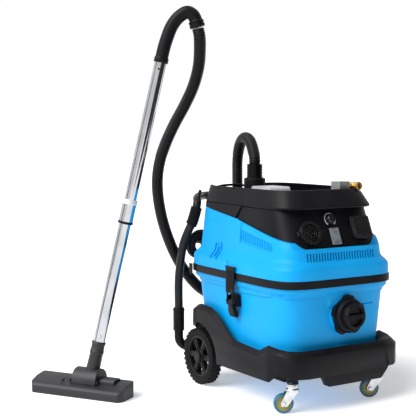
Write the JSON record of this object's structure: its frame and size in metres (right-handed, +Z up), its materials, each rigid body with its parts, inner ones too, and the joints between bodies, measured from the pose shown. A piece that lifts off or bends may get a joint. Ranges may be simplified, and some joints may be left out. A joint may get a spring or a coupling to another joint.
{
  "type": "shop vacuum",
  "caption": "Wheeled wet and dry dust extractor with a latched motor head, looped suction hose, two-piece wand and tilting floor head.",
  "frame": {"origin": "on the floor under the middle of the object's box, measured without the suction hose and the power cord", "axes": "+Z up; the machine's front, with its control panel and inlet, faces -Y; the wand stands on the -X side"},
  "size_m": [0.9794, 0.7452, 1.2059],
  "materials": {
    "black_plastic": "fine moulded grain",
    "blue_plastic": "fine moulded grain, slight sheen",
    "wheel_plastic": "moulded, dull",
    "grip_rubber": "soft, matt",
    "hose_plastic": "corrugated, slight sheen",
    "cord_rubber": "smooth",
    "caster_tyre": "smooth",
    "zinc_steel": "zinc plated",
    "painted_tube": "satin black",
    "chrome": "polished",
    "brass": "turned",
    "cast_block": "as cast",
    "pale_plastic": "matt",
    "grey_plastic": "satin",
    "motor_metal": "machined",
    "filter_cloth": "pleated"
  },
  "bodies": {
    "chassis": {"trolley_base": "black_plastic", "rear_axle": "zinc_steel", "tank": "blue_plastic", "inlet_flange": "black_plastic", "latch_bracket_left": "black_plastic", "latch_bracket_right": "black_plastic", "handle_sleeve_left": "black_plastic", "handle_sleeve_right": "black_plastic", "push_handle": "painted_tube", "handle_grip_left": "grip_rubber", "handle_grip_right": "grip_rubber"},
    "head": {"rim_frame": "black_plastic", "motor_plate": "black_plastic", "head_shell": "blue_plastic", "console": "black_plastic", "top_tray": "black_plastic", "blow_port": "black_plastic", "switch_bezel": "grey_plastic", "outlet_body": "black_plastic", "exhaust_pad": "pale_plastic", "rear_rail": "black_plastic", "supply_block": "cast_block", "brass_tee": "brass", "hose_collar": "black_plastic", "motor": "motor_metal", "filter_cartridge": "filter_cloth", "float_cage": "black_plastic", "lower_tube": "chrome", "tube_sleeve": "chrome", "upper_tube": "chrome", "wand_handle": "black_plastic", "suction_hose": "hose_plastic", "strain_relief": "cord_rubber", "power_cord": "cord_rubber", "cord_hank": "cord_rubber", "cable_hook": "black_plastic", "power_plug": "cord_rubber"},
    "rear_wheel_left_body": {"rear_wheel_left": "wheel_plastic"},
    "caster_left_swivel_body": {"caster_fork_left": "zinc_steel"},
    "caster_left_wheel_body": {"caster_wheel_left": "caster_tyre"},
    "latch_left_lever_body": {"latch_lever_left": "black_plastic"},
    "latch_left_hook_body": {"latch_hook_left": "black_plastic"},
    "rear_wheel_right_body": {"rear_wheel_right": "wheel_plastic"},
    "caster_right_swivel_body": {"caster_fork_right": "zinc_steel"},
    "caster_right_wheel_body": {"caster_wheel_right": "caster_tyre"},
    "latch_right_lever_body": {"latch_lever_right": "black_plastic"},
    "latch_right_hook_body": {"latch_hook_right": "black_plastic"},
    "inlet_plug_body": {"inlet_plug": "black_plastic"},
    "speed_dial_body": {"speed_dial": "black_plastic"},
    "rocker_body": {"rocker": "pale_plastic"},
    "outlet_lid_body": {"outlet_lid": "black_plastic"},
    "brass_coupler_body": {"brass_coupler": "brass"},
    "hose_cuff_body": {"hose_cuff": "black_plastic"},
    "impeller_body": {"impeller": "motor_metal"},
    "float_body": {"float_ball": "pale_plastic"},
    "snap_button_body": {"snap_button": "pale_plastic"},
    "neck_body": {"neck": "black_plastic"},
    "floor_head_body": {"floor_head": "black_plastic"},
    "pedal_body": {"pedal": "black_plastic"}
  },
  "joints": [
    {"name": "head_lift", "type": "slide", "parent": "chassis", "child": "head", "axis": [0, 0, 1], "range_m": [0, 0.07]},
    {"name": "rear_wheel_left_spin", "type": "hinge", "parent": "chassis", "child": "rear_wheel_left_body", "pos_m": [0.02817, 0.1272, 0.092], "axis": [1, 0, 0], "continuous": true},
    {"name": "caster_left_swivel", "type": "hinge", "parent": "chassis", "child": "caster_left_swivel_body", "pos_m": [0.07517, -0.3018, 0.09], "axis": [0, 0, 1], "continuous": true},
    {"name": "caster_left_roll", "type": "hinge", "parent": "caster_left_swivel_body", "child": "caster_left_wheel_body", "pos_m": [0.05117, -0.2898, 0.03], "axis": [-0.4472, -0.8944, 0], "continuous": true},
    {"name": "latch_left_lever", "type": "hinge", "parent": "chassis", "child": "latch_left_lever_body", "pos_m": [0.01817, -0.0618, 0.303], "axis": [0, 1, 0], "range_deg": [0, 110]},
    {"name": "latch_left_hook", "type": "hinge", "parent": "latch_left_lever_body", "child": "latch_left_hook_body", "pos_m": [0.01317, -0.0618, 0.294], "axis": [0, 1, 0], "range_deg": [-132.5, 0]},
    {"name": "rear_wheel_right_spin", "type": "hinge", "parent": "chassis", "child": "rear_wheel_right_body", "pos_m": [0.45217, 0.1272, 0.092], "axis": [1, 0, 0], "continuous": true},
    {"name": "caster_right_swivel", "type": "hinge", "parent": "chassis", "child": "caster_right_swivel_body", "pos_m": [0.40517, -0.3018, 0.09], "axis": [0, 0, 1], "continuous": true},
    {"name": "caster_right_roll", "type": "hinge", "parent": "caster_right_swivel_body", "child": "caster_right_wheel_body", "pos_m": [0.38117, -0.2898, 0.03], "axis": [-0.4472, -0.8944, 0], "continuous": true},
    {"name": "latch_right_lever", "type": "hinge", "parent": "chassis", "child": "latch_right_lever_body", "pos_m": [0.46217, -0.0618, 0.303], "axis": [0, -1, 0], "range_deg": [0, 110]},
    {"name": "latch_right_hook", "type": "hinge", "parent": "latch_right_lever_body", "child": "latch_right_hook_body", "pos_m": [0.46717, -0.0618, 0.294], "axis": [0, -1, 0], "range_deg": [-132.5, 0]},
    {"name": "inlet_plug_pull", "type": "slide", "parent": "chassis", "child": "inlet_plug_body", "axis": [0, -1, 0], "range_m": [0, 0.05]},
    {"name": "speed_dial_turn", "type": "hinge", "parent": "head", "child": "speed_dial_body", "pos_m": [0.23617, -0.26798, 0.561], "axis": [0, -0.9161, 0.4009], "range_deg": [0, 270]},
    {"name": "rocker_switch", "type": "hinge", "parent": "head", "child": "rocker_body", "pos_m": [0.23917, -0.29352, 0.5126], "axis": [1, 0, 0], "range_deg": [-8, 8]},
    {"name": "outlet_lid_hinge", "type": "hinge", "parent": "head", "child": "outlet_lid_body", "pos_m": [0.33817, -0.28311, 0.57008], "axis": [-1, 0, 0], "range_deg": [0, 100], "stiffness_Nm_per_rad": 0.08},
    {"name": "coupler_sleeve", "type": "slide", "parent": "head", "child": "brass_coupler_body", "axis": [0, 1, 0], "range_m": [0, 0.004], "stiffness_N_per_m": 400},
    {"name": "hose_cuff_turn", "type": "hinge", "parent": "head", "child": "hose_cuff_body", "pos_m": [0.18617, 0.0582, 0.68], "axis": [0, 0, 1], "continuous": true},
    {"name": "impeller_spin", "type": "hinge", "parent": "head", "child": "impeller_body", "pos_m": [0.24017, -0.0518, 0.41], "axis": [0, 0, 1], "continuous": true},
    {"name": "float_rise", "type": "slide", "parent": "head", "child": "float_body", "axis": [0, 0, 1], "range_m": [0, 0.028]},
    {"name": "snap_button_press", "type": "slide", "parent": "head", "child": "snap_button_body", "axis": [0.53, 0.848, 0], "range_m": [0, 0.003], "stiffness_N_per_m": 300},
    {"name": "neck_swivel", "type": "hinge", "parent": "head", "child": "neck_body", "pos_m": [-0.33883, 0.2029, 0.046], "axis": [0.1873, -0.117, 0.9753], "range_deg": [-90, 90]},
    {"name": "neck_tilt", "type": "hinge", "parent": "neck_body", "child": "floor_head_body", "pos_m": [-0.34304, 0.20504, 0.046], "axis": [0.557, -0.8305, 0], "range_deg": [-10, 45]},
    {"name": "pedal_rock", "type": "hinge", "parent": "floor_head_body", "child": "pedal_body", "pos_m": [-0.3021, 0.1422, 0.044], "axis": [0.557, -0.8305, 0], "range_deg": [-5, 5]}
  ],
  "couplings": [
    {"joint": "latch_left_hook", "follows": "latch_left_lever", "ratio": -1.2},
    {"joint": "latch_right_hook", "follows": "latch_right_lever", "ratio": -1.2}
  ]
}
